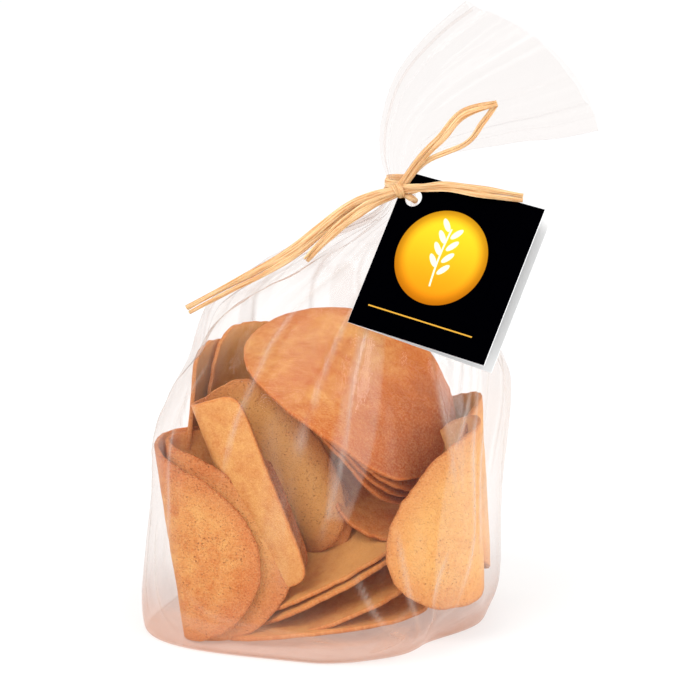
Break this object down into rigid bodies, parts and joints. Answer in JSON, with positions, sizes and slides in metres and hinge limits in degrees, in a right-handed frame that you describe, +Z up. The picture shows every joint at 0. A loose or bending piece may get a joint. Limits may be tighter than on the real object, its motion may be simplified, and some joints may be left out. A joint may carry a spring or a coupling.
{
  "type": "bag of almond tuiles",
  "caption": "Clear film bag of bent almond tuile biscuits, gathered at an off-centre neck, tied with raffia and hung with a small folded black card tag.",
  "frame": {"origin": "middle of the flat base, on the surface that the bag stands on", "axes": "+Z up from the base, -Y towards the wide front where the tag hangs, +X towards the side that the gathered neck and the flared film lean to"},
  "size_m": [0.1428, 0.0931, 0.1999],
  "materials": {
    "film": "gloss",
    "raffia": "satin",
    "card": "satin",
    "biscuit": "satin"
  },
  "bodies": {
    "root": {"bag": "film", "raffia_tie": "raffia", "tag": "card"}
  },
  "joints": []
}
